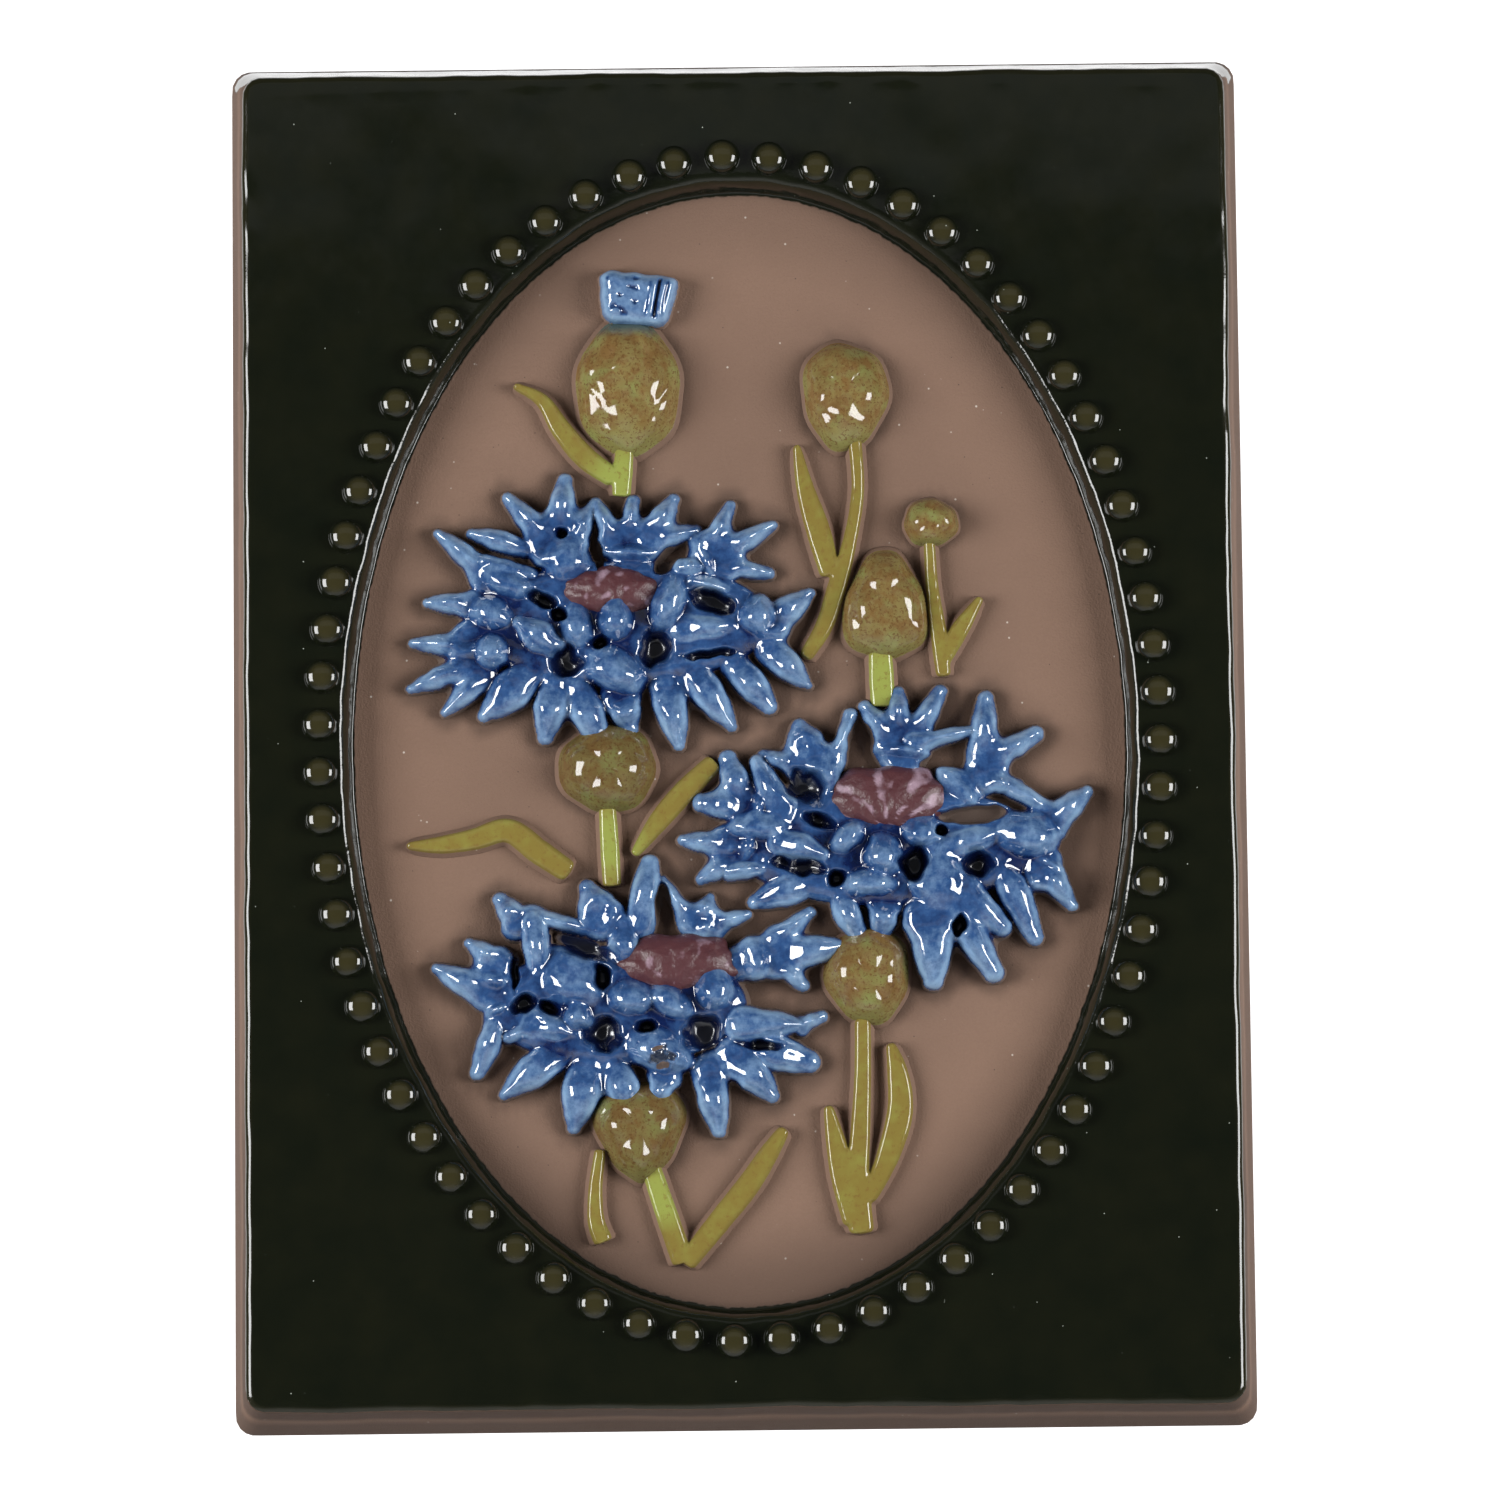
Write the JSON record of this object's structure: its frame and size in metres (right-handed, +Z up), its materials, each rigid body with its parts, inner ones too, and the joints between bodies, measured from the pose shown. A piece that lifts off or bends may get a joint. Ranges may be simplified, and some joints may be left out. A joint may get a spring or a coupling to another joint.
{
  "type": "decorative wall plaque",
  "caption": "Rectangular glazed stoneware wall plaque with a beaded oval window that holds cornflowers, buds and leaves in relief.",
  "frame": {"origin": "middle of the flat back face, which lies against the wall", "axes": "+Z up along the height, +Y into the wall, front faces -Y, +X to the viewer's right"},
  "size_m": [0.1484, 0.0152, 0.201],
  "materials": {
    "green_glaze": "glossy blackish bottle-green glaze with olive beads",
    "bare_clay": "matt unglazed pinkish-brown stoneware",
    "blue_glaze": "glossy cobalt-blue petals, lighter on the ridges",
    "leaf_glaze": "glossy yellow-green to rusty olive leaves, stems and buds"
  },
  "bodies": {
    "root": {"plaque": "green_glaze"}
  },
  "joints": []
}
